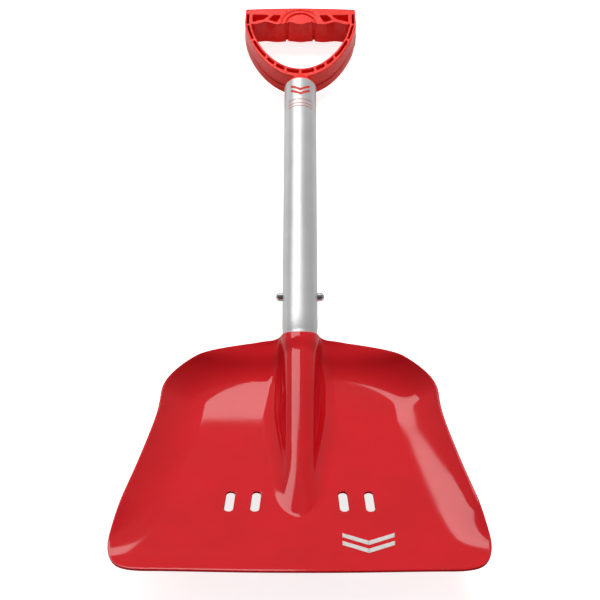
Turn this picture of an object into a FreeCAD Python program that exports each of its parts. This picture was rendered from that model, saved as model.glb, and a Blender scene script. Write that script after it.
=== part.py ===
import FreeCAD, Part
import math
import os
from FreeCAD import Vector

# Telescoping avalanche shovel, in millimetres. It lies on its back with the scoop opening up:
# +Z is up, +Y runs along the shaft towards the hand grip, and X is the blade's width.
# The origin is the middle of the bounding box's bottom. Distances along the shaft are measured
# from the mouth of the blade's socket, positive towards the grip, and heights from the shaft axis.

# ---- driving dimensions ----
BLADE_LENGTH = 229.5  # cutting edge to socket mouth
GRIP_TOP = 390.6  # socket mouth to the end of the grip, shaft pushed in
AXIS_HEIGHT = 18.0  # shaft axis above the ground, which the socket button touches
SHEET = 2.0  # pressed aluminium blade
BACK_SHEET = 1.8  # pressed plate that closes the socket
EXTENSION = 180.0  # how far the shaft draws out

UPPER_TUBE_RADIUS = 14.3
UPPER_TUBE_WALL = 1.25
UPPER_TUBE_END = 293.4
NECK_RADIUS = 13.2  # the upper tube's rolled-in lower end
NECK_FROM = 4.0
NECK_TO = 19.0
NECK_TIP = -2.0
LOWER_TUBE_RADIUS = 12.2
LOWER_TUBE_WALL = 1.5
LOWER_TUBE_START = -86.0
LOWER_TUBE_END = 239.0
SLIDE_GAP = 0.05  # radial play of a running fit
SOCKET_GAP = 0.1  # radial play of the tube in the pressed socket

BUTTON_RADIUS = 3.55
BUTTON_STANDS_OUT = 5.8  # beyond the upper tube
BUTTON_HOLE_RADIUS = 3.7
LOCK_BUTTON_AT = 47.7
SOCKET_BUTTON_AT = -46.0
SOCKET_BUTTON_TIP = 18.0  # from the shaft axis
STRIP = 0.5  # spring steel thickness
STRIP_HALF_WIDTH = 3.0
GRIP_PIN_AT = 267.0
GRIP_PIN_RADIUS = 3.0

DEEP = 300.0  # length of a cutting body, more than the shovel's depth

# ---- places worked out from them ----
MOUTH_Y = (BLADE_LENGTH - GRIP_TOP) / 2
EXTENSION_BUTTON_AT = LOCK_BUTTON_AT + EXTENSION
UPPER_TUBE_BORE = UPPER_TUBE_RADIUS - UPPER_TUBE_WALL
LOWER_TUBE_BORE = LOWER_TUBE_RADIUS - LOWER_TUBE_WALL
SOCKET_RADIUS = LOWER_TUBE_RADIUS + SOCKET_GAP
RIDGE_RADIUS = SOCKET_RADIUS + SHEET
BUTTON_TIP = UPPER_TUBE_RADIUS + BUTTON_STANDS_OUT
BUTTON_TRAVEL = BUTTON_TIP - UPPER_TUBE_BORE + SLIDE_GAP
BUTTON_SEAT = 9.55  # a button's collar bears on the inside of the lower tube here
COLLAR = 1.0
RIVET_HEAD = 0.6
BUTTON_DOME = 2.4
ACROSS = Vector(1, 0, 0)
ALONG = Vector(0, 1, 0)
UP = Vector(0, 0, 1)


def at(x, along, height):
    """A point given by its distance from the socket mouth and its height above the shaft axis."""
    return Vector(x, MOUTH_Y + along, AXIS_HEIGHT + height)


def blend(value, low, high):
    """0 below low, 1 above high, with a smooth change between them."""
    t = min(max((value - low) / (high - low), 0.0), 1.0)
    return t * t * (3 - 2 * t)


def rod(radius, start, end):
    """A round bar on the shaft axis between two distances from the mouth."""
    return Part.makeCylinder(radius, end - start, at(0, start, 0), ALONG)


def ring(outer, inner, start, end):
    return rod(outer, start, end).cut(rod(inner, start - 1, end + 1))


def side_hole(radius, along, direction):
    """A hole through one wall of the shaft, from its axis outwards."""
    return Part.makeCylinder(radius, 2 * UPPER_TUBE_RADIUS, at(0, along, 0), direction)


def through_hole(radius, along):
    return side_hole(radius, along, ACROSS).fuse(side_hole(radius, along, -ACROSS))


# ---- the blade: one pressed sheet ----
# Half of the blade's plan outline, from the socket mouth round to the cutting edge.
HALF_OUTLINE = [
    (0, 4.0), (20, 3.6), (50, -1.7), (70, -9.0), (89, -21.8), (101, -35.6), (106.2, -48), (107.4, -60),
    (109.4, -77), (114.4, -102.3), (122.2, -136), (130.2, -167.5), (135.6, -191), (137.6, -205),
    (136, -216.5), (131.6, -224), (122.5, -227.8), (105, -228.6), (60, -229.1), (0, -BLADE_LENGTH),
]
OUTLINE_STEPS = 160
MOUTH_SCOOP_RADIUS = 26.0  # the front of the mouth is cut back by this arc
MOUTH_SCOOP_DEPTH = 5.5
FLOOR_AT_MOUTH = -20.5  # the scoop's floor
FLOOR_RISE = 0.165  # its climb towards the cutting edge, per millimetre
FLOOR_BOW = 0.0002  # the climb grows steeper by twice this per millimetre
HEEL_HEIGHT = 8.0  # the floor bowls up towards the socket
HEEL_LENGTH = 100.0
DISH_RISE = 2.0  # the floor's rise between its middle and 100 mm further out
WALL_WIDTH = 34.0
WALL_CURVE = 2.2
MOUTH_WALL_HEIGHT = 8.5
BACK_WALL_HEIGHT = 16.0
SIDE_WALL_HEIGHT = 13.5
CORNER_WALL_HEIGHT = 10.5
RIDGE_STEEPEST = math.radians(75)
RIDGE_ZONE = 38.0  # half width of the strip that holds the ridge
RIDGE_FILLET = 9.0  # at the mouth
RIDGE_FILLET_GROWTH = 9.0
RIDGE_WIDENING = 25.0  # the arc's radius grows by this at the ridge's end
MOUTH_FLARE = 1.6  # the socket opens by this much for the end of the upper tube
ROWS = 56
RIDGE_COLUMNS = 20
FLANK_COLUMNS = 21
HALF_SPAN = 146.0
BEYOND_MOUTH = 9.0
BEYOND_TIP = 6.0
SLOTS_AT = -159.5
SLOT_PLACES = (32.6, 51.9)
SLOT_SPLAY = 4.5  # degrees
SLOT_HALF_WIDTH = 3.35
SLOT_HALF_LENGTH = 10.4
SLOT_CORNER = 3.1


def blade_outline():
    """The right half of the outline, as a smooth curve in plan."""
    curve = Part.BSplineCurve()
    points = [Vector(x, y, 0) for x, y in HALF_OUTLINE]
    curve.interpolate(Points=points, InitialTangent=ACROSS, FinalTangent=-ACROSS)
    return curve


BORDER = [(p.x, p.y) for p in blade_outline().discretize(OUTLINE_STEPS)]


def edge_distance(x, y):
    """How far a point is inside the outline, negative outside."""
    nearest, sign = math.inf, 1
    for (ax, ay), (bx, by) in zip(BORDER, BORDER[1:]):
        ex, ey = bx - ax, by - ay
        t = min(max(((x - ax) * ex + (y - ay) * ey) / (ex * ex + ey * ey), 0.0), 1.0)
        dx, dy = x - ax - t * ex, y - ay - t * ey
        if math.hypot(dx, dy) < nearest:
            nearest = math.hypot(dx, dy)
            sign = 1 if ex * dy < ey * dx else -1
    return sign * nearest


def wall_height(along):
    """The height of the turned-up edge: low at the mouth, high behind it, lower along the sides and none
    at the tip."""
    height = MOUTH_WALL_HEIGHT + (BACK_WALL_HEIGHT - MOUTH_WALL_HEIGHT) * blend(-along, -4, 16)
    height += (SIDE_WALL_HEIGHT - BACK_WALL_HEIGHT) * blend(-along, 30, 80)
    height += (CORNER_WALL_HEIGHT - SIDE_WALL_HEIGHT) * blend(-along, 80, 200)
    return height * (1 - blend(-along, 160, 218))


def flank_height(x, along):
    """The scoop's front surface away from the ridge."""
    x = max(abs(x), RIDGE_ZONE)
    inside = edge_distance(x, along)
    if inside > 0:
        wall = max(0.0, 1 - inside / WALL_WIDTH) ** WALL_CURVE
    else:
        wall = 1 - WALL_CURVE * inside / WALL_WIDTH
    dish = DISH_RISE * ((x - RIDGE_ZONE) / 100) ** 2
    floor = FLOOR_AT_MOUTH - FLOOR_RISE * along + FLOOR_BOW * along ** 2
    heel = HEEL_HEIGHT * min(max(0.0, 1 + along / HEEL_LENGTH), 1.05) ** 3
    return floor + heel + wall * wall_height(along) + dish


def ridge_profile(radius, floor, fillet):
    """Half of a cross-section through the ridge as evenly spaced points, from its top to the edge of its
    strip: an arc, a steep side, a fillet and the floor. Heights are from the arc's centre."""
    turn = RIDGE_STEEPEST
    if floor + fillet > (radius + fillet) * math.cos(turn):
        turn = math.acos(min(1.0, (floor + fillet) / (radius + fillet)))
    side_x, side_z = radius * math.sin(turn), radius * math.cos(turn)
    drop = side_z - floor - fillet * (1 - math.cos(turn))
    slant = drop / math.sin(RIDGE_STEEPEST) if turn == RIDGE_STEEPEST else 0.0
    foot_x = side_x + slant * math.cos(turn)
    arc, bend = radius * turn, fillet * turn
    total = arc + slant + bend + RIDGE_ZONE - foot_x - fillet * math.sin(turn)
    points = []
    for i in range(RIDGE_COLUMNS + 1):
        run = total * i / RIDGE_COLUMNS
        if run <= arc:
            angle = run / radius
            points.append((radius * math.sin(angle), radius * math.cos(angle)))
        elif run <= arc + slant:
            run -= arc
            points.append((side_x + run * math.cos(turn), side_z - run * math.sin(turn)))
        elif run <= arc + slant + bend:
            angle = turn - (run - arc - slant) / fillet
            x = foot_x + fillet * (math.sin(turn) - math.sin(angle))
            points.append((x, floor + fillet * (1 - math.cos(angle))))
        else:
            points.append((RIDGE_ZONE - total + run, floor))
    return points


def flare(along):
    """How far the socket's mouth opens beyond its normal radius."""
    return MOUTH_FLARE * blend(along, -18, -5)


def blade_section(along):
    """Half of the blade's front surface at one distance from the mouth."""
    fading = blend(-along, 120, 190)
    radius = RIDGE_RADIUS + flare(along) + RIDGE_WIDENING * fading
    centre = -RIDGE_WIDENING * fading
    floor = flank_height(0, along) - centre
    fillet = RIDGE_FILLET + RIDGE_FILLET_GROWTH * blend(-along, 0, 80)
    if floor < radius:
        section = ridge_profile(radius, floor, fillet)
    else:
        section = [(RIDGE_ZONE * i / RIDGE_COLUMNS, floor) for i in range(RIDGE_COLUMNS + 1)]
    section = [(x, z + centre) for x, z in section]
    for i in range(1, FLANK_COLUMNS + 1):
        x = RIDGE_ZONE + (HALF_SPAN - RIDGE_ZONE) * i / FLANK_COLUMNS
        section.append((x, flank_height(x, along)))
    return section


def section_points(section, along):
    """A whole row of surface points from half a section."""
    whole = [(-x, z) for x, z in section[:0:-1]] + section
    return [at(x, along, z) for x, z in whole]


def moved_back(rows, distance):
    """The same grid of points, moved out of the back of the sheet along its normals."""
    moved = []
    for i, row in enumerate(rows):
        before, after = rows[max(i - 1, 0)], rows[min(i + 1, len(rows) - 1)]
        line = []
        for j, point in enumerate(row):
            across = row[min(j + 1, len(row) - 1)] - row[max(j - 1, 0)]
            normal = (after[j] - before[j]).cross(across)
            if normal.z > 0:
                normal = -normal
            line.append(point + normal.normalize() * distance)
        moved.append(line)
    return moved


def sheet_between(front_rows, back_rows):
    """A closed solid between two grids of points."""
    faces = []
    for rows in (front_rows, back_rows):
        surface = Part.BSplineSurface()
        surface.interpolate(rows)
        faces.append(surface.toShape())
    faces += [Part.makeRuledSurface(a, b) for a, b in zip(faces[0].Edges, faces[1].Edges)]
    shell = Part.makeShell(faces)
    shell.sewShape()
    solid = Part.makeSolid(shell)
    if solid.Volume < 0:
        solid.reverse()
    return solid


def upright_prism(wire):
    """The space above and below a closed plan outline."""
    face = Part.Face(wire)
    face.translate(Vector(0, 0, -DEEP / 2))
    return face.extrude(Vector(0, 0, DEEP))


def rounded_block(half_width, half_length, corner, centre, turn=0.0):
    """The space above and below a rectangle with round corners."""
    start = Vector(-half_width, -half_length, -DEEP / 2)
    box = Part.makeBox(2 * half_width, 2 * half_length, DEEP, start)
    box = box.makeFillet(corner, [e for e in box.Edges if e.BoundBox.ZLength > DEEP / 2])
    box.rotate(Vector(0, 0, 0), UP, turn)
    box.translate(Vector(centre.x, centre.y, 0))
    return box


def make_blade():
    rows = []
    for i in range(ROWS + 1):
        along = BEYOND_MOUTH - (BEYOND_MOUTH + BLADE_LENGTH + BEYOND_TIP) * i / ROWS
        rows.append(section_points(blade_section(along), along))
    sheet = sheet_between(rows, moved_back(rows, SHEET))
    right = blade_outline().toShape()
    left = right.mirror(Vector(0, 0, 0), ACROSS)
    outline = Part.Wire([right, left])
    outline.translate(Vector(0, MOUTH_Y, 0))
    blade = sheet.common(upright_prism(outline))
    scoop_middle = HALF_OUTLINE[0][1] - MOUTH_SCOOP_DEPTH + MOUTH_SCOOP_RADIUS
    blade = blade.cut(Part.makeCylinder(MOUTH_SCOOP_RADIUS, DEEP, at(0, scoop_middle, 0)))
    for side in (-1, 1):
        for place in SLOT_PLACES:
            centre = at(side * place, SLOTS_AT, 0)
            splay = side * SLOT_SPLAY
            blade = blade.cut(rounded_block(SLOT_HALF_WIDTH, SLOT_HALF_LENGTH, SLOT_CORNER, centre, splay))
    return blade


# ---- the pressed plate that closes the socket at the back of the blade ----
BACK_HALF_WIDTH = 37.0
BACK_END = -118.0
BACK_CORNER = 12.0
BACK_CLEARANCE = 0.12  # between the plate's flanges and the sheet
HUG_HALF_WIDTH = 8.5  # the plate follows the tube's round this far from the middle
HUMP_FROM = 4.5  # from here to there across the middle, the plate leaves the tube for the floor
HUMP_TO = 13.0
CLOSING_RISE = 14.0  # the plate rises by this behind the end of the tube
CLOSING_FROM = LOWER_TUBE_START - 4
CLOSING_TO = BACK_END + 6
BACK_ROWS = 44
BACK_COLUMNS = 25


def back_of_floor(x, along):
    """The height of the back of the blade's floor, with room for the welded flange."""
    slope_along = flank_height(x, along + 1) - flank_height(x, along - 1)
    slope_across = flank_height(abs(x) + 1, along) - flank_height(abs(x) - 1, along)
    steepness = math.hypot(1, slope_along / 2, slope_across / 2)
    return flank_height(x, along) - (SHEET + BACK_CLEARANCE) * steepness


def smaller(a, b, softness=1.5):
    """The smaller of two heights, rounded where they cross."""
    overlap = max(softness - abs(a - b), 0.0) / softness
    return min(a, b) - overlap * overlap * softness / 4


def back_height(x, along):
    """The inner surface of the back plate: it hugs the tube in the middle and lies on the blade beside
    it, and closes behind the end of the tube."""
    x = abs(x)
    radius = SOCKET_RADIUS + flare(along)
    level = back_of_floor(x, along)
    hump = max(0.0, -radius - level) * (1 - blend(x, HUMP_FROM, HUMP_TO))
    near = min(x, HUG_HALF_WIDTH)
    depth = math.sqrt(radius ** 2 - near ** 2)
    round_part = (x - near) * near / depth - depth
    return smaller(level + hump, round_part + CLOSING_RISE * blend(-along, -CLOSING_FROM, -CLOSING_TO))


def make_socket_back():
    start = HALF_OUTLINE[0][1] + 3
    rows = []
    for i in range(BACK_ROWS + 1):
        along = start + (BACK_END - 4 - start) * i / BACK_ROWS
        xs = [(BACK_HALF_WIDTH + 3) * j / BACK_COLUMNS for j in range(BACK_COLUMNS + 1)]
        rows.append(section_points([(x, back_height(x, along)) for x in xs], along))
    plate = sheet_between(rows, moved_back(rows, BACK_SHEET))
    top = HALF_OUTLINE[0][1] - 2
    centre = at(0, (top + BACK_END) / 2, 0)
    plate = plate.common(rounded_block(BACK_HALF_WIDTH, (top - BACK_END) / 2, BACK_CORNER, centre))
    return plate.cut(side_hole(BUTTON_HOLE_RADIUS, SOCKET_BUTTON_AT, -UP))


# ---- the two tubes and their bushes ----
PLUG_HEAD = 3.0
PLUG_DEPTH = 9.0
PLUG_HOLE_RADIUS = 2.5
PLUG_CHAMFER = 1.0
GUIDE_HEAD = 6.0
GUIDE_DEPTH = 5.5
GUIDE_HOLE_RADIUS = 7.5
NECK_BUSH_LENGTH = 23.0


def make_upper_tube():
    rise = UPPER_TUBE_RADIUS - NECK_RADIUS
    bow = ((NECK_TO - NECK_FROM) ** 2 + rise ** 2) / (2 * rise)
    half_turn = math.asin((NECK_TO - NECK_FROM) / bow) / 2
    middle_radius = UPPER_TUBE_RADIUS - bow * (1 - math.cos(half_turn))
    neck_bore = LOWER_TUBE_RADIUS + 2 * SLIDE_GAP

    def point(radius, along):
        return at(radius, along, 0)

    shoulder = Part.Arc(
        point(NECK_RADIUS, NECK_FROM),
        point(middle_radius, NECK_TO - bow * math.sin(half_turn)),
        point(UPPER_TUBE_RADIUS, NECK_TO),
    ).toShape()
    corners = [
        point(UPPER_TUBE_RADIUS, NECK_TO), point(UPPER_TUBE_RADIUS, UPPER_TUBE_END),
        point(UPPER_TUBE_BORE, UPPER_TUBE_END), point(UPPER_TUBE_BORE, NECK_TO),
        point(neck_bore, NECK_FROM), point(neck_bore, NECK_TIP),
        point(NECK_RADIUS, NECK_TIP), point(NECK_RADIUS, NECK_FROM),
    ]
    lines = [Part.makeLine(a, b) for a, b in zip(corners, corners[1:])]
    tube = Part.Face(Part.Wire([shoulder] + lines)).revolve(at(0, 0, 0), ALONG, 360)
    tube = tube.cut(through_hole(BUTTON_HOLE_RADIUS, LOCK_BUTTON_AT))
    return tube.cut(through_hole(GRIP_PIN_RADIUS + 0.1, GRIP_PIN_AT))


def make_lower_tube():
    tube = ring(LOWER_TUBE_RADIUS, LOWER_TUBE_BORE, LOWER_TUBE_START, LOWER_TUBE_END)
    for along in (LOCK_BUTTON_AT, EXTENSION_BUTTON_AT):
        tube = tube.cut(through_hole(BUTTON_HOLE_RADIUS, along))
    return tube.cut(side_hole(BUTTON_HOLE_RADIUS, SOCKET_BUTTON_AT, -UP))


def make_lower_tube_plug():
    end = LOWER_TUBE_START - PLUG_HEAD
    head = rod(LOWER_TUBE_RADIUS, end, LOWER_TUBE_START)
    head = head.makeChamfer(PLUG_CHAMFER, [edge for edge in head.Edges if is_circle_at(edge, end)])
    plug = head.fuse(rod(LOWER_TUBE_BORE, LOWER_TUBE_START, LOWER_TUBE_START + PLUG_DEPTH))
    return plug.cut(rod(PLUG_HOLE_RADIUS, end - 1, LOWER_TUBE_START + PLUG_DEPTH + 1)).removeSplitter()


def is_circle_at(edge, along):
    """Is this a round edge that lies across the shaft at a distance from the mouth?"""
    box = edge.BoundBox
    return box.YLength < 0.01 and abs(box.YMin - MOUTH_Y - along) < 0.01


def make_guide_bush():
    """The nylon bush on the lower tube's upper end, which runs in the upper tube."""
    start, end = LOWER_TUBE_END - GUIDE_DEPTH, LOWER_TUBE_END + GUIDE_HEAD
    bush = rod(UPPER_TUBE_BORE - SLIDE_GAP, LOWER_TUBE_END, end)
    bush = bush.fuse(rod(LOWER_TUBE_BORE, start, LOWER_TUBE_END))
    return bush.cut(rod(GUIDE_HOLE_RADIUS, start - 1, end + 1)).removeSplitter()


def make_neck_bush():
    """The nylon sleeve that the upper tube's rolled-in end holds in."""
    return ring(UPPER_TUBE_BORE, LOWER_TUBE_RADIUS + SLIDE_GAP, NECK_TO, NECK_TO + NECK_BUSH_LENGTH)


# ---- snap buttons and their springs ----
COLLAR_RADIUS = 4.6
SHANK_RADIUS = 1.5
RIVET_RADIUS = 2.2
SPRING_BEND = 5.0  # radius of the V's bend
SPRING_LEG = 38.0  # from the button to the bend
SPRING_FOOT = 5.0  # the leg runs on past the button by this
SPRING_KNEE = 6.0  # the leg leaves the button's flat here
SOCKET_SPRING_REST = 9.95  # the socket spring's blind leg, from the shaft axis


def make_button(tip, along, direction, pressed=0.0):
    """A turned snap button: rivet head, shank through the spring, collar, body and domed end."""
    inner = BUTTON_SEAT - COLLAR
    back = inner - STRIP

    def disc(radius, start, end):
        return Part.makeCylinder(radius, end - start, Vector(0, 0, start))

    dome_radius = (BUTTON_RADIUS ** 2 + BUTTON_DOME ** 2) / (2 * BUTTON_DOME)
    dome = Part.makeSphere(dome_radius, Vector(0, 0, tip - dome_radius))
    below_dome = disc(COLLAR_RADIUS, inner - 1, tip - BUTTON_DOME)
    body = disc(BUTTON_RADIUS, inner, tip).common(dome.fuse(below_dome))
    collar = disc(COLLAR_RADIUS, inner, BUTTON_SEAT)
    shank = disc(SHANK_RADIUS, back, inner)
    rivet = disc(RIVET_RADIUS, back - RIVET_HEAD, back)
    button = body.fuse([collar, shank, rivet]).removeSplitter()
    turn = FreeCAD.Rotation(UP, direction)
    button.Placement = FreeCAD.Placement(at(0, along, 0) - direction * pressed, turn)
    return button


def make_spring(along, away, right_leg, left_leg, direction, rivets):
    """A strip of spring steel bent into a V. Its legs end beside the buttons at two distances from the
    shaft axis, and its bend lies away from them along the shaft."""
    end, knee, turn = -SPRING_FOOT * away, SPRING_KNEE * away, SPRING_LEG * away

    def half(leg, side, inset):
        return [
            Vector(side * (leg - inset), end, 0),
            Vector(side * (leg - inset), knee, 0),
            Vector(side * (SPRING_BEND - inset), turn, 0),
        ]

    def strand(inset):
        right, left = half(right_leg, 1, inset), half(left_leg, -1, inset)
        middle = Vector(0, turn + away * (SPRING_BEND - inset), 0)
        legs = [Part.makeLine(a, b) for side in (right, left) for a, b in zip(side, side[1:])]
        return legs + [Part.Arc(right[-1], middle, left[-1]).toShape()], right[0], left[0]

    outer, outer_right, outer_left = strand(-STRIP / 2)
    inner, inner_right, inner_left = strand(STRIP / 2)
    caps = [Part.makeLine(outer_right, inner_right), Part.makeLine(outer_left, inner_left)]
    face = Part.Face(Part.Wire(Part.__sortEdges__(outer + inner + caps)))
    face.translate(Vector(0, 0, -STRIP_HALF_WIDTH))
    strip = face.extrude(Vector(0, 0, 2 * STRIP_HALF_WIDTH))
    for side in rivets:
        hole = Part.makeCylinder(SHANK_RADIUS, 2 * LOWER_TUBE_RADIUS, Vector(0, 0, 0), ACROSS * side)
        strip = strip.cut(hole)
    strip.rotate(Vector(0, 0, 0), ALONG, -math.degrees(math.atan2(direction.z, direction.x)))
    strip.translate(at(0, along, 0))
    return strip


# ---- the hand grip: one moulding ----
GRIP_HALF_DEPTH = 11.65
GRIP_LEDGE_AT = -2.2  # a step runs round the outside of the arch at this height
GRIP_LEDGE = 2.0  # how much lower the rear half's arch starts
GRIP_LEDGE_SIDE = 0.3
GRIP_SHOULDER_AT = 371.0  # the arch's sides stand upright from here on
ARCH_POWER = 1.52
GRIP_OUTLINE = (51.5, 297.7)  # half width, bottom
HAND_OPENING = (45.8, 308.8)
CELLS_OUTER = (49.6, 302.3)
CELLS_INNER = (47.8, 306.4)
CELL_DEPTH = 9.0
CELL_TOP = 382.0
POCKET_CORNER = 0.7
RIB_ANGLES = (0, 16, 28, 39.5, 62.5, 84)
RIB_WIDTH = 2.6
WAVE_LEVEL = 369.4  # the finger waves under the bar
WAVE_HEIGHT = 1.6  # at the front of the bar
REAR_WAVE_HEIGHT = 0.6
WAVE_LENGTH = 21.4
PANEL_RADIUS = 12.6  # an arched groove frames the middle of the bar
PANEL_CENTRE = 370.4
PANEL_DISH_RADIUS = 15.8
PANEL_DISH_LIFT = 3.2  # the dish's tool is this far above the face
PANEL_DISH_TOOL = 4.0
GROOVE_TOOL = 1.3
GROOVE_SUNK = 0.9
PANEL_LEG = 6.0  # the arch's legs run straight towards the hand by this
SPIGOT_FROM = 251.0
SPIGOT_BORE = 9.5
SHOULDER_RADII = (13.9, 11.6)  # a cone joins the tube to the arch
SHOULDER_LENGTH = 8.0
PIN_WALL = 0.9
PIN_SLOT = 1.0


def arch_point(shape, angle, height=0.0):
    """A point of the arch at an angle from the bottom, 0 to 90 degrees."""
    half_width, bottom = shape
    rise = math.cos(math.radians(angle)) ** (2 / ARCH_POWER)
    x = half_width * math.sin(math.radians(angle))
    return at(x, GRIP_SHOULDER_AT - (GRIP_SHOULDER_AT - bottom) * rise, height)


def arch_wire(shape, top_edges, height):
    """A closed outline: the arch, closed by edges from its right end to its left end."""
    angles = range(-90, 91, 10)
    points = []
    for angle in angles:
        point = arch_point(shape, abs(angle), height)
        points.append(Vector(math.copysign(point.x, angle), point.y, point.z))
    curve = Part.BSplineCurve()
    curve.interpolate(Points=points, InitialTangent=-ALONG, FinalTangent=ALONG)
    return Part.Wire([curve.toShape()] + top_edges(points[-1], points[0]))


def crowned_top(right, left):
    """The sides and the gently crowned end of the grip."""
    corner_right = Vector(right.x - 0.7, MOUTH_Y + GRIP_TOP - 1.8, right.z)
    corner_left = Vector(-corner_right.x, corner_right.y, right.z)
    crown = Part.Arc(corner_right, Vector(0, MOUTH_Y + GRIP_TOP, right.z), corner_left)
    return [Part.makeLine(right, corner_right), crown.toShape(), Part.makeLine(corner_left, left)]


def flat_top(right, left):
    top_right = Vector(right.x, MOUTH_Y + CELL_TOP, right.z)
    top_left = Vector(left.x, top_right.y, left.z)
    corners = [right, top_right, top_left, left]
    return [Part.makeLine(a, b) for a, b in zip(corners, corners[1:])]


def wave_wire(wave_height, height):
    """The outline of a block above the hand, with finger waves along its lower side."""
    count = 48
    half_width = GRIP_OUTLINE[0]
    points = []
    for i in range(count + 1):
        x = half_width - 2 * half_width * i / count
        along = WAVE_LEVEL - wave_height * math.cos(2 * math.pi * x / WAVE_LENGTH)
        points.append(at(x, along, height))
    wave = Part.BSplineCurve()
    wave.interpolate(points)
    top = ALONG * (GRIP_TOP - WAVE_LEVEL)
    corners = [points[-1], points[-1] + top, points[0] + top, points[0]]
    lines = [Part.makeLine(a, b) for a, b in zip(corners, corners[1:])]
    return Part.Wire([wave.toShape()] + lines)


def hand_opening():
    """The space for the hand, below the bar's shallow finger waves."""
    opening = prism(arch_wire(HAND_OPENING, flat_top, -GRIP_HALF_DEPTH - 1), 2 * GRIP_HALF_DEPTH + 2)
    slope = (WAVE_HEIGHT - REAR_WAVE_HEIGHT) / (2 * GRIP_HALF_DEPTH)
    wires = []
    for height in (-GRIP_HALF_DEPTH - 2, GRIP_HALF_DEPTH + 2):
        wires.append(wave_wire(WAVE_HEIGHT + slope * (height - GRIP_HALF_DEPTH), height))
    return opening.cut(Part.makeLoft(wires, True, True))


def grip_body():
    """The outside of the moulding: the rear half's arch starts lower than the front half's."""
    lower = (GRIP_OUTLINE[0] + GRIP_LEDGE_SIDE, GRIP_OUTLINE[1] - GRIP_LEDGE)
    front = [arch_wire(GRIP_OUTLINE, crowned_top, height) for height in (GRIP_HALF_DEPTH, GRIP_LEDGE_AT)]
    rear = [
        arch_wire(lower, crowned_top, GRIP_LEDGE_AT),
        arch_wire(GRIP_OUTLINE, crowned_top, -GRIP_HALF_DEPTH),
    ]
    return Part.makeLoft(front, True, True).fuse(Part.makeLoft(rear, True, True))


def prism(wire, depth):
    return Part.Face(wire).extrude(Vector(0, 0, depth))


def grip_cells():
    """The pockets along the arch, between ribs that cross it."""
    floor = GRIP_HALF_DEPTH - CELL_DEPTH
    cells = prism(arch_wire(CELLS_OUTER, flat_top, floor), 2 * CELL_DEPTH)
    cells = cells.cut(prism(arch_wire(CELLS_INNER, flat_top, floor), 2 * CELL_DEPTH))
    for angle in RIB_ANGLES:
        for side in (-1, 1):
            inner, outer = arch_point(CELLS_INNER, angle), arch_point(CELLS_OUTER, angle)
            lean = math.degrees(math.atan2(inner.x - outer.x, inner.y - outer.y))
            if angle > 70:
                lean = -90
            rib = Part.makeBox(RIB_WIDTH, 24, 3 * CELL_DEPTH, Vector(-RIB_WIDTH / 2, -12, floor - 1))
            rib.rotate(Vector(0, 0, 0), UP, -side * lean)
            rib.translate(Vector(side * inner.x, inner.y, AXIS_HEIGHT))
            cells = cells.cut(rib)
    return cells


def bar_pockets():
    """Two blind pockets each side of the bar's middle, with a slanting rib between them."""
    floor = GRIP_HALF_DEPTH - CELL_DEPTH
    outer = [(44.4, 381.2), (28.8, 380.6), (34.1, 375.2), (39.4, 373.6), (44.2, 371.6)]
    inner = [(24.8, 380.7), (17.9, 380.4), (21.7, 371.9), (24.9, 372.4), (29.4, 374.9)]
    pockets = []
    for corners in (outer, inner):
        for side in (-1, 1):
            points = [at(side * x, along, floor) for x, along in corners]
            pocket = prism(Part.makePolygon(points + points[:1]), 2 * CELL_DEPTH)
            uprights = [edge for edge in pocket.Edges if edge.BoundBox.ZLength > CELL_DEPTH]
            pockets.append(pocket.makeFillet(POCKET_CORNER, uprights))
    return pockets


def panel_groove():
    """The groove that arches over the bar's middle and runs on under it, with a dished outer side."""
    face = at(0, PANEL_CENTRE, GRIP_HALF_DEPTH)
    dish = (PANEL_DISH_RADIUS, PANEL_DISH_TOOL, face + UP * PANEL_DISH_LIFT)
    groove = (PANEL_RADIUS, GROOVE_TOOL, face - UP * GROOVE_SUNK)
    tools = []
    for radius, tool, centre in (dish, groove):
        circle = Part.Circle(centre + ACROSS * radius, ALONG, tool).toShape()
        tools.append(Part.Face(Part.Wire([circle])).revolve(centre, UP, 180))
        for side in (-1, 1):
            foot = centre + ACROSS * side * radius - ALONG * PANEL_LEG
            tools.append(Part.makeCylinder(tool, PANEL_LEG, foot, ALONG))
    for side in (-1, 1):
        foot = at(side * PANEL_RADIUS, WAVE_LEVEL + WAVE_HEIGHT, -GRIP_HALF_DEPTH - 1)
        tools.append(Part.makeCylinder(GROOVE_TOOL, 2 * GRIP_HALF_DEPTH, foot, UP))
    return tools


def ejector_marks():
    places = [(12.6, 385.5), (7.2, 375.0)]
    return [
        Part.makeCylinder(0.8, 2, at(side * x, along, GRIP_HALF_DEPTH - 0.35), UP)
        for x, along in places
        for side in (-1, 1)
    ]


def make_grip():
    grip = grip_body()
    shoulder = Part.makeCone(*SHOULDER_RADII, SHOULDER_LENGTH, at(0, UPPER_TUBE_END, 0), ALONG)
    spigot = ring(UPPER_TUBE_BORE, SPIGOT_BORE, SPIGOT_FROM, UPPER_TUBE_END)
    grip = grip.fuse([shoulder, spigot]).cut(hand_opening())
    grip = grip.cut([grip_cells()] + bar_pockets() + panel_groove() + ejector_marks())
    return grip.cut(through_hole(GRIP_PIN_RADIUS, GRIP_PIN_AT))


def make_grip_pin():
    """A slotted spring pin through the upper tube and the grip's spigot."""
    half_length = UPPER_TUBE_RADIUS - 0.8
    start = at(-half_length, GRIP_PIN_AT, 0)
    pin = Part.makeCylinder(GRIP_PIN_RADIUS, 2 * half_length, start, ACROSS)
    pin = pin.cut(Part.makeCylinder(GRIP_PIN_RADIUS - PIN_WALL, 2 * half_length, start, ACROSS))
    slot = Part.makeBox(2 * half_length, PIN_SLOT, 2 * GRIP_PIN_RADIUS, start - ALONG * PIN_SLOT / 2)
    return pin.cut(slot)


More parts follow.
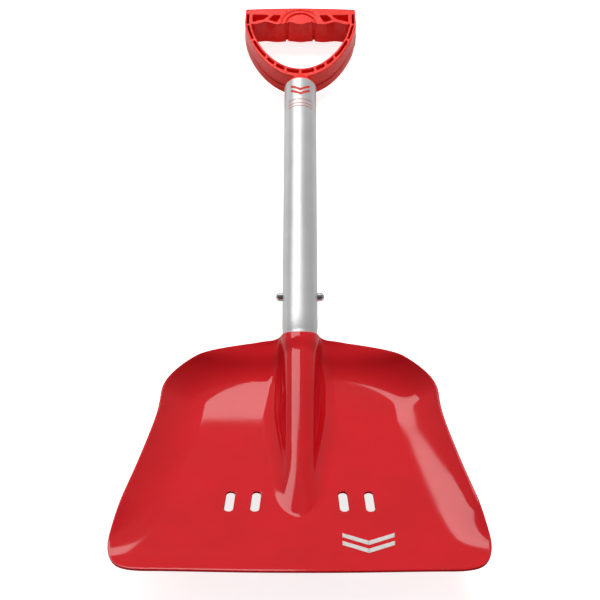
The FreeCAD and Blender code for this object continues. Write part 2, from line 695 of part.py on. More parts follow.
def main():
    outward = BUTTON_SEAT - COLLAR - STRIP / 2
    squeezed = outward - BUTTON_TRAVEL
    nodes = {
        "blade": make_blade(),
        "socket_back": make_socket_back(),
        "upper_tube": make_upper_tube(),
        "lower_tube": make_lower_tube(),
        "lower_tube_plug": make_lower_tube_plug(),
        "guide_bush": make_guide_bush(),
        "neck_bush": make_neck_bush(),
        "lock_button_right": make_button(BUTTON_TIP, LOCK_BUTTON_AT, ACROSS),
        "lock_button_left": make_button(BUTTON_TIP, LOCK_BUTTON_AT, -ACROSS),
        "lock_spring": make_spring(LOCK_BUTTON_AT, -1, outward, outward, ACROSS, (1, -1)),
        "extension_button_right": make_button(BUTTON_TIP, EXTENSION_BUTTON_AT, ACROSS, BUTTON_TRAVEL),
        "extension_button_left": make_button(BUTTON_TIP, EXTENSION_BUTTON_AT, -ACROSS, BUTTON_TRAVEL),
        "extension_spring": make_spring(EXTENSION_BUTTON_AT, -1, squeezed, squeezed, ACROSS, (1, -1)),
        "socket_button": make_button(SOCKET_BUTTON_TIP, SOCKET_BUTTON_AT, -UP),
        "socket_spring": make_spring(SOCKET_BUTTON_AT, 1, outward, SOCKET_SPRING_REST, -UP, (1,)),
        "grip": make_grip(),
        "grip_pin": make_grip_pin(),
    }
    os.makedirs("parts", exist_ok=True)
    for name, shape in nodes.items():
        shape.exportStep(f"parts/{name}.step")


main()
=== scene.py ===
import math

import bmesh
import bpy
import numpy as np
from mathutils import Euler, Matrix, Vector


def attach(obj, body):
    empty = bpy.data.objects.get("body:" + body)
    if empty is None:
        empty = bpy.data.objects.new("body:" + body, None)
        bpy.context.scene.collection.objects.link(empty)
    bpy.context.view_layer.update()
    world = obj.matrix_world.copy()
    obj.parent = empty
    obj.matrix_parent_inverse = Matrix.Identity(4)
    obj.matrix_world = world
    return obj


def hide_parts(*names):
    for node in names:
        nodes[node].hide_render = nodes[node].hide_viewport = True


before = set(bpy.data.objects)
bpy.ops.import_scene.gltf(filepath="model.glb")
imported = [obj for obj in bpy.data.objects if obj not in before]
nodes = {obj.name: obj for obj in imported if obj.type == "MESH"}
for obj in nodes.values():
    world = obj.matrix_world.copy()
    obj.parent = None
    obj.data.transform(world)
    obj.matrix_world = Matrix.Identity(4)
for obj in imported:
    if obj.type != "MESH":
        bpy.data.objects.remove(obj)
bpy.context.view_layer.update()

# Avalanche shovel: the looks. Lengths in the helpers are in millimetres; along is measured from the
# mouth of the blade's socket towards the grip, and height from the shaft axis, as in the CAD source.

MM = 0.001
MOUTH_Y = -80.55
AXIS_HEIGHT = 18.0
BLADE_LENGTH = 229.5
SHEET = 2.0
CORNER_STEPS = 8


# ---- mesh helpers ----
def place(points):
    """Points given as (x, along, height) in millimetres, in the row frame in metres."""
    return (np.asarray(points, float) + (0.0, MOUTH_Y, AXIS_HEIGHT)) * MM


def mesh_object(name, vertices, faces, material, body=None, smooth=True):
    """A mesh in the scene, which rides a body where one is given."""
    mesh = bpy.data.meshes.new(name)
    mesh.from_pydata([tuple(v) for v in vertices], [], [tuple(f) for f in faces])
    mesh.validate()
    mesh.update()
    obj = bpy.data.objects.new(name, mesh)
    bpy.context.scene.collection.objects.link(obj)
    if smooth:
        mesh.shade_smooth()
    mesh.materials.append(material)
    if body:
        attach(obj, body)
    return obj


def grid_faces(rows, columns, start=0):
    """Quads of a grid of points stored row by row."""
    faces = []
    for i in range(rows - 1):
        for j in range(columns - 1):
            a = start + i * columns + j
            faces.append((a, a + 1, a + 1 + columns, a + columns))
    return faces


# ---- the blade's surface: the same formulas as the CAD source ----
HALF_OUTLINE = np.array([
    (0, 4.0), (20, 3.6), (50, -1.7), (70, -9.0), (89, -21.8), (101, -35.6), (106.2, -48), (107.4, -60),
    (109.4, -77), (114.4, -102.3), (122.2, -136), (130.2, -167.5), (135.6, -191), (137.6, -205),
    (136, -216.5), (131.6, -224), (122.5, -227.8), (105, -228.6), (60, -229.1), (0, -BLADE_LENGTH),
])
FLOOR_AT_MOUTH = -20.5
FLOOR_RISE = 0.165
FLOOR_BOW = 0.0002
HEEL = 8.0
HEEL_LENGTH = 100.0
DISH_RISE = 2.0
DISH_WIDTH = 100.0
WALL_WIDTH = 34.0
WALL_CURVE = 2.2
MOUTH_WALL_HEIGHT = 8.5
BACK_WALL_HEIGHT = 16.0
SIDE_WALL_HEIGHT = 13.5
CORNER_WALL_HEIGHT = 10.5
MOUTH_TO_BACK = (-4, 16)
BACK_TO_SIDE = (30, 80)
SIDE_TO_CORNER = (80, 200)
WALL_FADE = (160, 218)
RIDGE_RADIUS = 14.3
RIDGE_ZONE = 38.0
RIDGE_STEEPEST = math.radians(75)
RIDGE_FILLET = 9.0
RIDGE_FILLET_GROWTH = 9.0
RIDGE_FILLET_GROWS = (0, 80)
RIDGE_WIDENING = 25.0
RIDGE_WIDENS = (120, 190)
MOUTH_FLARE = 1.6
MOUTH_FLARE_GROWS = (-18, -5)
MOUTH_ARC_RADIUS = 26.0
MOUTH_ARC_DEPTH = 5.5
MOUTH_REACH = 14.0
SLOT_PLACES = (32.6, 51.9)
SLOT_ALONG = -159.5
SLOT_HEIGHT = 13.0
SLOT_HALF_WIDTH = 3.35
SLOT_HALF_LENGTH = 10.4
SLOT_CORNER = 3.1
SLOT_LEAN = 4.5
SLOT_CUTTER_HEIGHT = 60.0
STRAIGHT_COLUMNS = (RIDGE_ZONE, 80)
BACK_CORNER = (97.5, -31)
TIP_CORNER = (132.5, -221.5)
NORMAL_STEP = 0.15


def smoothstep(value, low, high):
    t = np.clip((value - low) / (high - low), 0.0, 1.0)
    return t * t * (3 - 2 * t)


def curve_through(points, count, first, last):
    """A smooth curve through points (chord-length cubic spline with given end directions)."""
    points = np.asarray(points, float)
    steps = np.linalg.norm(np.diff(points, axis=0), axis=1)
    knots = np.concatenate([[0], np.cumsum(steps)])
    size = len(points)
    matrix = np.zeros((size, size))
    right = np.zeros((size, 2))
    matrix[0, 0] = matrix[-1, -1] = 1
    right[0], right[-1] = first, last
    for i in range(1, size - 1):
        before, after = steps[i - 1], steps[i]
        matrix[i, i - 1 : i + 2] = after, 2 * (before + after), before
        slope_before = (points[i] - points[i - 1]) / before
        slope_after = (points[i + 1] - points[i]) / after
        right[i] = 3 * (after * slope_before + before * slope_after)
    slopes = np.linalg.solve(matrix, right)
    out = []
    for value in np.linspace(0, knots[-1], count):
        i = min(int(np.searchsorted(knots, value, side="right")) - 1, size - 2)
        t = (value - knots[i]) / steps[i]
        h = steps[i]
        out.append(
            (1 + 2 * t) * (1 - t) ** 2 * points[i] + t * (1 - t) ** 2 * h * slopes[i]
            + t * t * (3 - 2 * t) * points[i + 1] - t * t * (1 - t) * h * slopes[i + 1]
        )
    return np.array(out)


BORDER = curve_through(HALF_OUTLINE, 600, (1, 0), (-1, 0))


def edge_distance(x, along):
    """How far points are inside the outline, negative outside, for arrays of points."""
    points = np.stack([np.abs(x), along], -1).reshape(-1, 2)
    best = np.full(len(points), np.inf)
    sign = np.ones(len(points))
    for a, b in zip(BORDER[::4], BORDER[4::4]):
        e = b - a
        t = np.clip(((points - a) @ e) / (e @ e), 0, 1)
        d = points - a - t[:, None] * e
        distance = np.hypot(d[:, 0], d[:, 1])
        closer = distance < best
        best = np.where(closer, distance, best)
        sign = np.where(closer, np.where(e[0] * d[:, 1] < e[1] * d[:, 0], 1, -1), sign)
    return (sign * best).reshape(x.shape)


def wall_height(along):
    """The turned-up edge's height at a place along the blade; it dies out towards the cutting edge."""
    height = MOUTH_WALL_HEIGHT
    height = height + (BACK_WALL_HEIGHT - MOUTH_WALL_HEIGHT) * smoothstep(-along, *MOUTH_TO_BACK)
    height = height + (SIDE_WALL_HEIGHT - BACK_WALL_HEIGHT) * smoothstep(-along, *BACK_TO_SIDE)
    height = height + (CORNER_WALL_HEIGHT - SIDE_WALL_HEIGHT) * smoothstep(-along, *SIDE_TO_CORNER)
    return height * (1 - smoothstep(-along, *WALL_FADE))


def flank_height(x, along):
    """The floor beside the ridge with its heel, its turned-up edge and a slight dish."""
    x = np.maximum(np.abs(x), RIDGE_ZONE)
    inside = edge_distance(x, along)
    wall = np.where(
        inside > 0,
        np.maximum(0.0, 1 - inside / WALL_WIDTH) ** WALL_CURVE,
        1 - WALL_CURVE * inside / WALL_WIDTH,
    )
    dish = DISH_RISE * ((x - RIDGE_ZONE) / DISH_WIDTH) ** 2
    heel = HEEL * np.clip(1 + along / HEEL_LENGTH, 0, 1.05) ** 3
    floor = FLOOR_AT_MOUTH - FLOOR_RISE * along + FLOOR_BOW * along**2
    return floor + heel + wall * wall_height(along) + dish


def ridge_height(x, along, floor):
    """The ridge as a height: an arc, a steep side and a fillet on the floor. The arc is centred on the
    shaft axis over the socket, and the ridge widens beyond it until the floor has caught it up."""
    x = np.abs(x)
    fading = smoothstep(-along, *RIDGE_WIDENS)
    flare = MOUTH_FLARE * smoothstep(along, *MOUTH_FLARE_GROWS)
    radius = RIDGE_RADIUS + flare + RIDGE_WIDENING * fading
    centre = -RIDGE_WIDENING * fading
    fillet = RIDGE_FILLET + RIDGE_FILLET_GROWTH * smoothstep(-along, *RIDGE_FILLET_GROWS)
    floor = floor - centre
    reach = (floor + fillet) / (radius + fillet)
    shallow = reach > math.cos(RIDGE_STEEPEST)
    turn = np.where(shallow, np.arccos(np.clip(reach, -1, 1)), RIDGE_STEEPEST)
    side_x, side_z = radius * np.sin(turn), radius * np.cos(turn)
    drop = side_z - floor - fillet * (1 - np.cos(turn))
    foot_x = side_x + np.where(shallow, 0, drop / math.tan(RIDGE_STEEPEST))
    top = np.sqrt(np.maximum(radius**2 - np.minimum(x, side_x) ** 2, 0))
    slant = side_z - (x - side_x) * math.tan(RIDGE_STEEPEST)
    middle_x = foot_x + fillet * np.sin(turn)
    bend = floor + fillet - np.sqrt(np.maximum(fillet**2 - np.clip(middle_x - x, 0, fillet) ** 2, 0))
    height = np.where(x <= side_x, top, np.where(x <= foot_x, slant, bend))
    height = np.where(x >= middle_x, floor, height)
    return centre + np.where(floor < radius, height, floor)


def front_height(x, along):
    """The front surface: the ridge in the middle and the floor on both sides."""
    floor_middle = flank_height(np.zeros_like(x), along)
    near = ridge_height(x, along, floor_middle)
    return np.where(np.abs(x) < RIDGE_ZONE, near, flank_height(x, along))


def front_normal(x, along):
    """Unit normals of the front surface, from small differences."""
    step = NORMAL_STEP
    slope_x = (front_height(x + step, along) - front_height(x - step, along)) / (2 * step)
    slope_y = (front_height(x, along + step) - front_height(x, along - step)) / (2 * step)
    normal = np.stack([-slope_x, -slope_y, np.ones_like(x)], -1)
    return normal / np.linalg.norm(normal, axis=-1, keepdims=True)


# ---- materials ----
class Shader:
    """A small builder for node materials: every call adds a node and returns its output socket."""

    def __init__(self, name):
        self.material = bpy.data.materials.new(name)
        self.material.use_nodes = True
        self.tree = self.material.node_tree
        self.bsdf = self.tree.nodes["Principled BSDF"]

    def node(self, kind, inputs=None, **settings):
        node = self.tree.nodes.new(kind)
        for key, value in settings.items():
            setattr(node, key, value)
        for key, value in (inputs or {}).items():
            self.feed(node.inputs[key], value)
        return node

    def feed(self, socket, value):
        if isinstance(value, bpy.types.NodeSocket):
            self.tree.links.new(value, socket)
        else:
            socket.default_value = value

    def position(self, scale=(1, 1, 1)):
        """The place on the object in metres, stretched by a scale."""
        coordinates = self.node("ShaderNodeTexCoord").outputs["Object"]
        return self.node("ShaderNodeMapping", {"Vector": coordinates, "Scale": scale}).outputs["Vector"]

    def noise(self, size, stretch=(1, 1, 1), detail=3.0, roughness=0.55):
        """Noise from 0 to 1 whose grains are about size metres long."""
        where = self.position(tuple(s / size for s in stretch))
        inputs = {"Vector": where, "Scale": 1.0, "Detail": detail, "Roughness": roughness}
        return self.node("ShaderNodeTexNoise", inputs).outputs["Fac"]

    def ramp(self, value, low, high, out_low=0.0, out_high=1.0):
        inputs = {"Value": value, "From Min": low, "From Max": high, "To Min": out_low, "To Max": out_high}
        return self.node("ShaderNodeMapRange", inputs).outputs["Result"]

    def mix(self, factor, first, second):
        node = self.tree.nodes.new("ShaderNodeMix")
        node.data_type = "RGBA"
        self.feed(node.inputs[0], factor)
        self.feed(node.inputs[6], first)
        self.feed(node.inputs[7], second)
        return node.outputs[2]

    def math(self, operation, first, second=0.0):
        node = self.tree.nodes.new("ShaderNodeMath")
        node.operation = operation
        self.feed(node.inputs[0], first)
        self.feed(node.inputs[1], second)
        return node.outputs[0]

    def grey(self, value):
        inputs = {"Red": value, "Green": value, "Blue": value}
        return self.node("ShaderNodeCombineColor", inputs).outputs["Color"]

    def bump(self, height, distance, strength):
        inputs = {"Height": height, "Distance": distance, "Strength": strength}
        return self.node("ShaderNodeBump", inputs).outputs["Normal"]

    def set(self, **inputs):
        for key, value in inputs.items():
            self.feed(self.bsdf.inputs[key.replace("_", " ")], value)
        return self.material


def coated_red(name, colour=(0.66, 0.004, 0.010, 1)):
    """Glossy red coating over metal: orange peel, faint hairline scratches and a slow change of gloss."""
    s = Shader(name)
    blotches = s.noise(0.045)
    peel = s.noise(0.0028, detail=1.0)
    hairlines = s.ramp(s.noise(0.0009, (1, 0.02, 1), detail=2.0), 0.66, 0.78)
    deeper = tuple(c * 0.9 for c in colour[:3]) + (1,)
    base = s.mix(s.ramp(blotches, 0.3, 0.7), colour, deeper)
    rough = s.ramp(blotches, 0.25, 0.75, 0.055, 0.085)
    rough = s.math("ADD", rough, s.math("MULTIPLY", hairlines, 0.05))
    normal = s.bump(peel, 0.00002, 0.25)
    return s.set(Base_Color=base, Roughness=rough, Normal=normal)


def anodised(name, colour=(0.62, 0.62, 0.635, 1), low=0.26, high=0.36, metallic=1.0):
    """Satin aluminium tube: drawn lines along the tube and faint rubbing marks."""
    s = Shader(name)
    lines = s.noise(0.0007, (1, 0.004, 1), detail=3.0)
    cloud = s.noise(0.03)
    rubs = s.ramp(s.noise(0.004, (1, 0.08, 1), detail=4.0), 0.6, 0.75)
    base = s.mix(s.ramp(cloud, 0.3, 0.7), colour, tuple(c * 0.93 for c in colour[:3]) + (1,))
    rough = s.math("ADD", s.ramp(lines, 0.3, 0.7, low, high), s.math("MULTIPLY", rubs, 0.07))
    normal = s.bump(lines, 0.00001, 0.35)
    return s.set(Base_Color=base, Metallic=metallic, Roughness=rough, Normal=normal, Anisotropic=0.35)


def moulded(name, colour, rough=0.3, grain=0.0006, depth=0.00002):
    """Moulded plastic: a fine leathery grain, slow colour clouds and slightly uneven gloss."""
    s = Shader(name)
    cloud = s.noise(0.02)
    grains = s.noise(grain, detail=2.0)
    base = s.mix(s.ramp(cloud, 0.3, 0.7), colour, tuple(c * 0.88 for c in colour[:3]) + (1,))
    roughness = s.ramp(cloud, 0.25, 0.75, rough - 0.04, rough + 0.05)
    bumps = s.bump(grains, depth, 0.5)
    return s.set(Base_Color=base, Roughness=roughness, Normal=bumps, Specular_IOR_Level=0.35)


def polished(name, colour=(0.83, 0.83, 0.84, 1), rough=0.09):
    """Turned and plated steel: fine rings and a light haze."""
    s = Shader(name)
    haze = s.noise(0.0025)
    rings = s.noise(0.0004, detail=2.0)
    normal = s.bump(rings, 0.000003, 0.3)
    roughness = s.ramp(haze, 0.3, 0.7, rough, rough + 0.08)
    return s.set(Base_Color=colour, Metallic=1.0, Roughness=roughness, Normal=normal)


def tempered(name):
    """Spring strip: dark brushed steel with straw-coloured heat tint."""
    s = Shader(name)
    cloud = s.noise(0.008)
    lines = s.noise(0.0005, (0.02, 1, 1), detail=3.0)
    base = s.mix(s.ramp(cloud, 0.4, 0.65), (0.33, 0.33, 0.36, 1), (0.42, 0.34, 0.23, 1))
    roughness = s.ramp(lines, 0.3, 0.7, 0.24, 0.42)
    return s.set(Base_Color=base, Metallic=1.0, Roughness=roughness, Normal=s.bump(lines, 0.00001, 0.4))


RED = coated_red("red_coating")
SATIN = anodised("satin_aluminium", (0.80, 0.80, 0.80, 1), 0.36, 0.44, 0.7)
INNER = anodised("bare_aluminium", (0.55, 0.55, 0.57, 1), 0.2, 0.34)
NYLON = moulded("black_nylon", (0.02, 0.02, 0.022, 1), 0.42)
GRIP_RED = moulded("grip_plastic", (0.92, 0.030, 0.020, 1), 0.28)
CHROME = polished("button_steel")
SPRING = tempered("spring_steel")


def dress(node, material):
    """Gives a CAD node its procedural material."""
    mesh = nodes[node].data
    mesh.materials.clear()
    mesh.materials.append(material)


for node, material in {
    "blade": RED, "socket_back": RED, "upper_tube": SATIN, "lower_tube": INNER, "lower_tube_plug": NYLON,
    "guide_bush": NYLON, "neck_bush": NYLON, "lock_button_right": CHROME, "lock_button_left": CHROME,
    "extension_button_right": CHROME, "extension_button_left": CHROME, "socket_button": CHROME,
    "lock_spring": SPRING, "extension_spring": SPRING, "socket_spring": SPRING, "grip_pin": SPRING,
    "grip": GRIP_RED,
}.items():
    dress(node, material)


# ---- the blade ----
QUICK_ROWS, FINE_ROWS = 110, 150
COLUMN_GAPS = ((0, 11, 0.7), (11, 21, 0.3), (21, RIDGE_ZONE, 0.8))  # from, to, gap
OUTER_COLUMNS = np.linspace(RIDGE_ZONE, 101, 56)
EDGE_ANGLES = (60, 30, 0, -30, -60)
EDGE_BULGE = 0.9


def blade_columns():
    """Positions across the blade: close together where the ridge is steep."""
    half = np.concatenate([np.arange(*gaps) for gaps in COLUMN_GAPS] + [OUTER_COLUMNS])
    return np.concatenate([-half[:0:-1], half])


def nearest_on_border(corner):
    """The number of the border's point that is nearest to a corner."""
    return int(np.argmin(np.linalg.norm(BORDER - corner, axis=1)))


def blade_grid():
    """A grid whose border follows the blade's outline. Its four sides are the back edge, the two side
    edges and the cutting edge, and its corners lie in the middle of the rounded corners."""
    back_corner, tip_corner = nearest_on_border(BACK_CORNER), nearest_on_border(TIP_CORNER)
    columns = blade_columns()
    share = columns / columns[-1]
    back = BORDER[: back_corner + 1]
    side = BORDER[back_corner : tip_corner + 1]
    tip = BORDER[tip_corner:][::-1]
    rows = FINE_ROWS

    def across(curve):
        """Points of a half curve at the columns' shares of its width, mirrored to the left."""
        wanted = np.abs(share) * curve[-1, 0]
        y = np.interp(wanted, curve[:, 0], curve[:, 1])
        return np.stack([np.sign(share) * wanted, y], -1)

    top, bottom = across(back), across(tip)
    lengths = np.concatenate([[0], np.cumsum(np.linalg.norm(np.diff(side, axis=0), axis=1))])
    v = np.linspace(0, 1, rows)
    right = np.stack([np.interp(v * lengths[-1], lengths, side[:, k]) for k in (0, 1)], -1)
    left = right * (-1, 1)
    u = (share + 1) / 2
    grid = (
        (1 - v)[:, None, None] * top + v[:, None, None] * bottom
        + (1 - u)[None, :, None] * left[:, None] + u[None, :, None] * right[:, None]
        - (1 - u)[None, :, None] * (1 - v)[:, None, None] * top[0]
        - u[None, :, None] * (1 - v)[:, None, None] * top[-1]
        - (1 - u)[None, :, None] * v[:, None, None] * bottom[0]
        - u[None, :, None] * v[:, None, None] * bottom[-1]
    )
    # Near the ridge the columns run straight; outside it they spread with the outline.
    straight = columns[None, :] * np.ones((rows, 1))
    weight = 1 - smoothstep(np.abs(columns), *STRAIGHT_COLUMNS)[None, :]
    grid[..., 0] = weight * straight + (1 - weight) * grid[..., 0]
    return grid


def mouth_scoop(grid):
    """Pulls the middle of the back edge in to the arc that clears the top of the socket."""
    centre = HALF_OUTLINE[0, 1] - MOUTH_ARC_DEPTH + MOUTH_ARC_RADIUS
    x = np.minimum(np.abs(grid[..., 0]), MOUTH_ARC_RADIUS)
    arc = centre - np.sqrt(MOUTH_ARC_RADIUS**2 - x**2)
    edge = grid[0, :, 1][None, :]
    limit = np.minimum(arc, edge)
    start = edge - MOUTH_REACH
    share = np.clip((grid[..., 1] - start) / MOUTH_REACH, 0, 1)
    pulled = start + share * (limit - start)
    grid[..., 1] = np.where(grid[..., 1] > start, pulled, grid[..., 1])
    return grid


def build_blade():
    """The pressed sheet: a front and a back surface, joined by a rounded edge."""
    grid = mouth_scoop(blade_grid())
    x, along = grid[..., 0], grid[..., 1]
    rows, columns = x.shape
    front = np.stack([x, along, front_height(x, along)], -1)
    normal = front_normal(x, along)
    back = front - normal * SHEET
    border = (
        [(0, j) for j in range(columns)] + [(i, columns - 1) for i in range(1, rows)]
        + [(rows - 1, j) for j in range(columns - 2, -1, -1)] + [(i, 0) for i in range(rows - 2, 0, -1)]
    )
    bi, bj = np.array(border).T
    inner = front[np.clip(bi, 1, rows - 2), np.clip(bj, 1, columns - 2)]
    out = front[bi, bj] - inner
    n = normal[bi, bj]
    out -= (out * n).sum(-1, keepdims=True) * n
    out /= np.linalg.norm(out, axis=-1, keepdims=True)
    loops = []
    radius = SHEET / 2
    for angle in np.radians(EDGE_ANGLES):
        middle = front[bi, bj] - n * radius
        loops.append(middle + n * radius * np.sin(angle) + out * radius * EDGE_BULGE * np.cos(angle))
    vertices = np.concatenate([front.reshape(-1, 3), back.reshape(-1, 3)] + loops)
    count = rows * columns
    faces = [f[::-1] for f in grid_faces(rows, columns)]
    faces += [tuple(v + count for v in f) for f in grid_faces(rows, columns)]
    rings = [[i * columns + j for i, j in border]]
    rings += [[2 * count + k * len(border) + m for m in range(len(border))] for k in range(len(loops))]
    rings += [[count + i * columns + j for i, j in border]]
    for upper, lower in zip(rings, rings[1:]):
        for m in range(len(border)):
            k = (m + 1) % len(border)
            faces.append((upper[m], upper[k], lower[k], lower[m]))
    obj = mesh_object("blade_shell", place(vertices), faces, RED)
    cut_slots(obj)
    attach(obj, "blade")
    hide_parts("blade")


def cut_slots(obj):
    """Cuts the four strap slots, which lean outwards towards the tip."""
    cutters = []
    for side in (-1, 1):
        for x in SLOT_PLACES:
            cutter = rounded_prism(SLOT_HALF_WIDTH, SLOT_HALF_LENGTH, SLOT_CORNER, SLOT_CUTTER_HEIGHT)
            cutter.rotation_euler = (0, 0, math.radians(side * SLOT_LEAN))
            cutter.location = place([(side * x, SLOT_ALONG, SLOT_HEIGHT)])[0]
            cutters.append(cutter)
    bpy.context.view_layer.update()
    for cutter in cutters:
        modifier = obj.modifiers.new("slot", "BOOLEAN")
        modifier.operation = "DIFFERENCE"
        modifier.solver = "EXACT"
        modifier.object = cutter
    bake_modifiers(obj)
    for cutter in cutters:
        bpy.data.objects.remove(cutter)


def bake_modifiers(obj):
    """Replaces an object's mesh with the result of its modifiers."""
    bpy.context.view_layer.update()
    evaluated = obj.evaluated_get(bpy.context.evaluated_depsgraph_get())
    mesh = bpy.data.meshes.new_from_object(evaluated)
    obj.modifiers.clear()
    obj.data = mesh


def rounded_prism(half_width, half_length, corner, height):
    """An upright prism with round corners about the origin, in metres."""
    ring = []
    for turn, (sx, sy) in enumerate(((1, 1), (-1, 1), (-1, -1), (1, -1))):
        for step in range(CORNER_STEPS + 1):
            angle = math.radians(90 * turn + 90 * step / CORNER_STEPS)
            ring.append((
                sx * (half_width - corner) + corner * math.cos(angle),
                sy * (half_length - corner) + corner * math.sin(angle),
            ))
    count = len(ring)
    vertices = [(x * MM, y * MM, z * MM) for z in (-height / 2, height / 2) for x, y in ring]
    faces = [tuple(range(count))[::-1], tuple(range(count, 2 * count))]
    faces += [(i, (i + 1) % count, count + (i + 1) % count, count + i) for i in range(count)]
    return mesh_object("cutter", vertices, faces, RED, smooth=False)


build_blade()


# ---- the grip: one moulding with soft edges ----
QUICK_VOXEL, FINE_VOXEL = 0.00075, 0.00042
QUICK_SHARE, FINE_SHARE = 0.8, 0.32


def build_grip():
    """The moulded grip: the designed form with the small edge radii that a mould gives."""
    obj = bpy.data.objects.new("grip_moulding", nodes["grip"].data.copy())
    bpy.context.scene.collection.objects.link(obj)
    remesh = obj.modifiers.new("remesh", "REMESH")
    remesh.mode = "VOXEL"
    remesh.voxel_size = FINE_VOXEL
    soften = obj.modifiers.new("soften", "SMOOTH")
    soften.factor = 0.5
    soften.iterations = 3
    thin = obj.modifiers.new("thin", "DECIMATE")
    thin.ratio = FINE_SHARE
    bake_modifiers(obj)
    obj.data.shade_smooth()
    obj.data.materials.clear()
    obj.data.materials.append(GRIP_RED)
    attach(obj, "upper_shaft")
    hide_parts("grip")


build_grip()


# ---- printed marks: plain chevrons and lines ----
TUBE_RADIUS = 14.3


def on_blade(u, v, lift):
    """u is measured across the blade, v along it."""
    normal = front_normal(u, v)
    return np.stack([u, v, front_height(u, v)], -1) + normal * lift


def on_tube(u, v, lift):
    """u is measured round the tube from its top, v along it."""
    radius, angle = TUBE_RADIUS + lift, u / TUBE_RADIUS
    return np.stack([radius * np.sin(angle), v, radius * np.cos(angle)], -1)


def printed(name, shapes, surface, material, body, thick=0.05, steps=14):
    """A thin layer of ink that lies on a surface. Each shape is four corners (u, v) in turn."""
    vertices, faces = [], []
    t = np.linspace(0, 1, steps)
    for corners in shapes:
        a, b, c, d = (np.array(corner, float) for corner in corners)
        s, r = np.meshgrid(t, t)
        s, r = s[..., None], r[..., None]
        flat = (1 - s) * (1 - r) * a + s * (1 - r) * b + s * r * c + (1 - s) * r * d
        start = len(vertices)
        for lift in (thick, -thick):
            vertices += list(place(surface(flat[..., 0], flat[..., 1], lift).reshape(-1, 3)))
        count = steps * steps
        top = grid_faces(steps, steps, start)
        faces += top + [tuple(v + count for v in f[::-1]) for f in top]
        rim = (
            list(range(steps)) + [i * steps + steps - 1 for i in range(1, steps)]
            + [count - 1 - j for j in range(1, steps)] + [i * steps for i in range(steps - 2, 0, -1)]
        )
        for m, n in zip(rim, rim[1:] + rim[:1]):
            faces.append((start + n, start + m, start + m + count, start + n + count))
    obj = mesh_object(name, vertices, faces, material, body)
    mesh = obj.data
    bm = bmesh.new()
    bm.from_mesh(mesh)
    bmesh.ops.recalc_face_normals(bm, faces=bm.faces)
    bm.to_mesh(mesh)
    bm.free()
    return obj


def chevron(u, v, width, height, thick):
    """Two slanting bars that meet in a point away from the grip, as two four-cornered shapes."""
    left = [(u - width, v), (u - width, v + thick), (u, v - height + thick), (u, v - height)]
    right = [(u + width, v), (u + width, v + thick), (u, v - height + thick), (u, v - height)]
    return [left, right]


def ink(name, colour):
    """Screen-printed ink: thin spots, and rubbed away a little."""
    s = Shader(name)
    wear = s.ramp(s.noise(0.0012, detail=4.0), 0.3, 0.7)
    base = s.mix(wear, colour, tuple(c * 0.82 for c in colour[:3]) + (1,))
    roughness = s.ramp(wear, 0, 1, 0.3, 0.42)
    return s.set(Base_Color=base, Roughness=roughness, Normal=s.bump(wear, 0.00001, 0.3))


WHITE_INK = ink("white_ink", (0.72, 0.70, 0.68, 1))
RED_INK = ink("red_ink", (0.70, 0.035, 0.02, 1))
BLADE_CHEVRON = {"width": 19, "height": 8, "thick": 4.2}
TUBE_CHEVRON = {"width": 9, "height": 6, "thick": 3}
LINE_HALF_WIDTH, LINE_THICK = 12, 0.7


def mark_blade():
    """Two white chevrons at the right of the cutting edge."""
    shapes = chevron(50, -196, **BLADE_CHEVRON) + chevron(50, -204, **BLADE_CHEVRON)
    printed("blade_mark", shapes, on_blade, WHITE_INK, "blade")


def mark_tube():
    """Two red chevrons and three thin lines below the grip."""
    shapes = chevron(0, 283, **TUBE_CHEVRON) + chevron(0, 277.5, **TUBE_CHEVRON)
    for v in (266, 261, 257.5):
        low = [(-LINE_HALF_WIDTH, v), (LINE_HALF_WIDTH, v)]
        high = [(LINE_HALF_WIDTH, v + LINE_THICK), (-LINE_HALF_WIDTH, v + LINE_THICK)]
        shapes.append(low + high)
    printed("shaft_mark", shapes, on_tube, RED_INK, "upper_shaft")


mark_blade()
mark_tube()


# ---- the studio: floor, lights and camera ----
SOFTBOX_Y, SOFTBOX_Z = 4.596, 4.577
SOFTBOX_DEPTH = 2.27
SOFTBOX_TILT = math.radians(-45)
TOP_LIGHT = (0.3, 1.7, 2.2)
TOP_LIGHT_TARGET = (0, -0.1, 0.02)
WORLD_LIGHT = 0.22
FLOOR_HALF = 6
FLOOR_GLOW = 0.8
CAMERA_PLACE = (0, -1.0015, 1.1688)
CAMERA_TILT = math.radians(40)
CAMERA_ROLL = math.radians(0.1)
CAMERA_LENS = 110.3
SENSOR_WIDTH = 36


def area_light(name, position, size, power):
    """A rectangular light that shines straight down until it is turned."""
    light = bpy.data.lights.new(name, "AREA")
    light.shape = "RECTANGLE"
    light.size, light.size_y = size
    light.energy = power
    obj = bpy.data.objects.new(name, light)
    bpy.context.scene.collection.objects.link(obj)
    obj.location = position
    return obj


def tilted_softbox(name, left, right, power):
    """A long softbox behind the grip, between two places across."""
    obj = area_light(name, ((left + right) / 2, SOFTBOX_Y, SOFTBOX_Z), (right - left, SOFTBOX_DEPTH), power)
    obj.rotation_euler = Euler((SOFTBOX_TILT, 0, 0))
    return obj


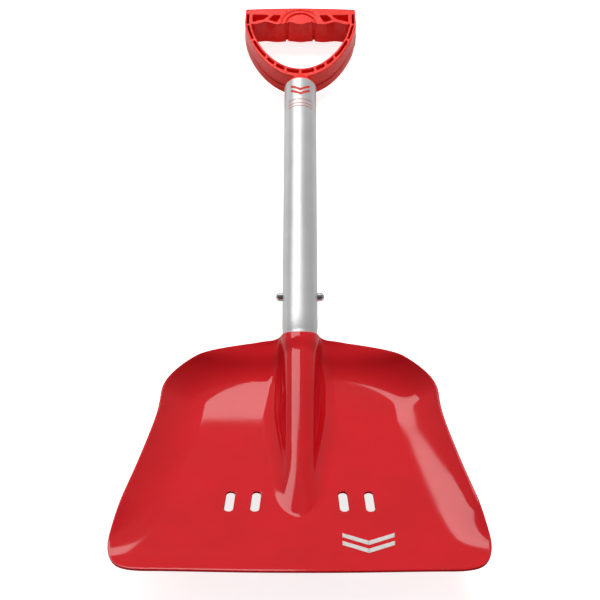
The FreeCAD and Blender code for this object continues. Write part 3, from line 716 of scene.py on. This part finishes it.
def studio_world():
    """A pale room, which reflections see as darker and brightening towards the back."""
    world = bpy.data.worlds.new("studio")
    world.use_nodes = True
    tree = world.node_tree
    background = tree.nodes["Background"]
    glossy = tree.nodes.new("ShaderNodeLightPath").outputs["Is Glossy Ray"]
    direction = tree.nodes.new("ShaderNodeTexCoord").outputs["Generated"]
    split = tree.nodes.new("ShaderNodeSeparateXYZ")
    tree.links.new(direction, split.inputs[0])
    ramp = tree.nodes.new("ShaderNodeMapRange")
    for name, value in {"From Min": -0.6, "From Max": 0.9, "To Min": 0.06, "To Max": 0.4}.items():
        ramp.inputs[name].default_value = value
    tree.links.new(split.outputs["Y"], ramp.inputs["Value"])
    mix = tree.nodes.new("ShaderNodeMix")
    mix.inputs["A"].default_value = WORLD_LIGHT
    tree.links.new(glossy, mix.inputs["Factor"])
    tree.links.new(ramp.outputs["Result"], mix.inputs["B"])
    tree.links.new(mix.outputs["Result"], background.inputs["Strength"])
    background.inputs["Color"].default_value = (1, 1, 1, 1)
    bpy.context.scene.world = world


def paper_floor():
    """Pale paper with a painted shade that only reflections see: greyer towards the right."""
    mesh = bpy.data.meshes.new("floor")
    corners = [(x * FLOOR_HALF, y * FLOOR_HALF, 0) for x, y in ((-1, -1), (1, -1), (1, 1), (-1, 1))]
    mesh.from_pydata(corners, [], [(0, 1, 2, 3)])
    floor = bpy.data.objects.new("floor", mesh)
    bpy.context.scene.collection.objects.link(floor)
    s = Shader("floor_paper")
    glossy = s.node("ShaderNodeLightPath").outputs["Is Glossy Ray"]
    across = s.node("ShaderNodeSeparateXYZ", {"Vector": s.position()}).outputs["X"]
    # painted shade: the paper as reflections see it, going from pale to grey towards the right
    reflected_shade = s.ramp(across, -0.25, 0.35, 0.9, 0.3)
    grain = s.ramp(s.noise(0.4), 0.3, 0.7, 0.88, 0.9)
    # camera rays see the paper's own even tone; reflections see the painted shade
    shade = s.mix(glossy, s.grey(grain), s.grey(reflected_shade))
    glow = s.math("MULTIPLY", s.node("ShaderNodeLightPath").outputs["Is Camera Ray"], FLOOR_GLOW)
    s.set(Base_Color=shade, Roughness=0.9, Emission_Color=(1, 1, 1, 1), Emission_Strength=glow)
    mesh.materials.append(s.material)


def build_set():
    """White floor, pale room, two softboxes behind the grip and a light from the top."""
    studio_world()
    paper_floor()
    bpy.context.scene.view_settings.view_transform = "Standard"
    tilted_softbox("left_back_softbox", -5.4, 0, 123)
    fill = tilted_softbox("left_fill_light", -6.6, -5.4, 27)
    fill.visible_glossy = False
    top = area_light("top_back_light", TOP_LIGHT, (1.2, 1.2), 62)
    top.rotation_euler = (Vector(TOP_LIGHT_TARGET) - Vector(TOP_LIGHT)).to_track_quat("-Z", "Y").to_euler()
    top.visible_glossy = False


def build_camera():
    """A long lens in front of the cutting edge, looking down the shaft towards the grip."""
    camera = bpy.data.cameras.new("camera")
    camera.lens = CAMERA_LENS
    camera.sensor_width = SENSOR_WIDTH
    camera.clip_end = 50
    obj = bpy.data.objects.new("camera", camera)
    bpy.context.scene.collection.objects.link(obj)
    obj.location = CAMERA_PLACE
    tilt = Matrix.Rotation(CAMERA_TILT, 3, "X")
    roll = Matrix.Rotation(CAMERA_ROLL, 3, "Z")
    obj.rotation_euler = (tilt @ roll).to_euler()
    bpy.context.scene.camera = obj


build_set()
build_camera()
